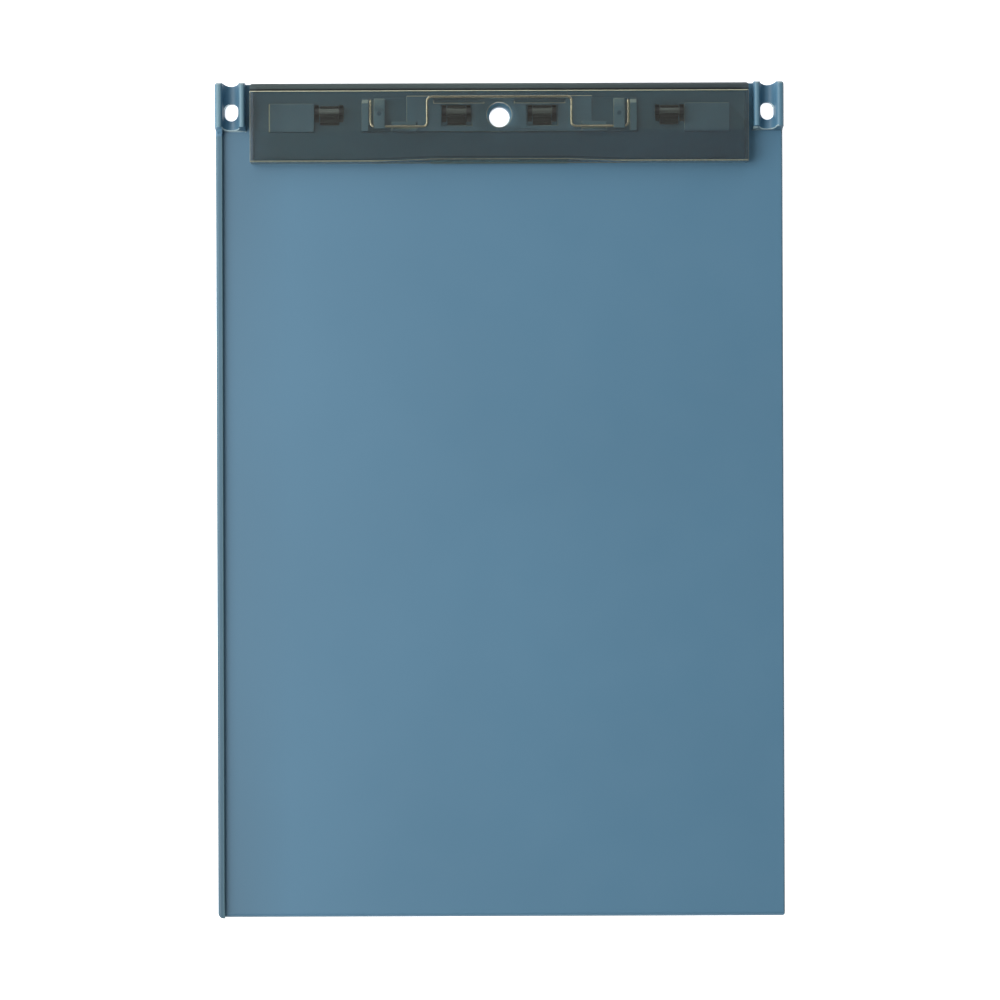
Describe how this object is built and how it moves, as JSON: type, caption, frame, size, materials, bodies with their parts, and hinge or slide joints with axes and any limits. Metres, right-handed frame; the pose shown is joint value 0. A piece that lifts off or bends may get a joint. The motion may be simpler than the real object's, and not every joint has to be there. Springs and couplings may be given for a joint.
{
  "type": "clipboard",
  "caption": "Slim A4 clipboard with a sprung see-through clip, a paper guide rib, corrugated ears with cord holes and a hanging hole.",
  "frame": {"origin": "middle of the underside, on the surface that the board lies on", "axes": "+Z out of the writing face, +Y towards the clip end, +X to the right when the sheet is read"},
  "size_m": [0.215, 0.316, 0.009],
  "materials": {
    "board_plastic": "moulded, fine matt grain, slate blue",
    "clip_smoke": "clear polished plastic, smoke grey",
    "strip_rubber": "soft, smooth, smoke grey",
    "spring_steel": "drawn wire, bright",
    "bearing_plastic": "moulded, smooth, graphite",
    "pin_steel": "ground rod"
  },
  "bodies": {
    "board": {"writing_board": "board_plastic", "torsion_spring": "spring_steel", "bearing_outer_left": "bearing_plastic", "bearing_inner_left": "bearing_plastic", "bearing_inner_right": "bearing_plastic", "bearing_outer_right": "bearing_plastic"},
    "clip": {"clip_plate": "clip_smoke", "jaw_strip": "strip_rubber", "pin_outer_left": "pin_steel", "pin_inner_left": "pin_steel", "pin_inner_right": "pin_steel", "pin_outer_right": "pin_steel"}
  },
  "joints": [
    {"name": "clip_hinge", "type": "hinge", "parent": "board", "child": "clip", "pos_m": [0, 0.1472, 0.0051], "axis": [-1, 0, 0], "range_deg": [0, 18], "stiffness_Nm_per_rad": 0.3, "springref_deg": -22.92, "deforming": ["torsion_spring"]}
  ]
}
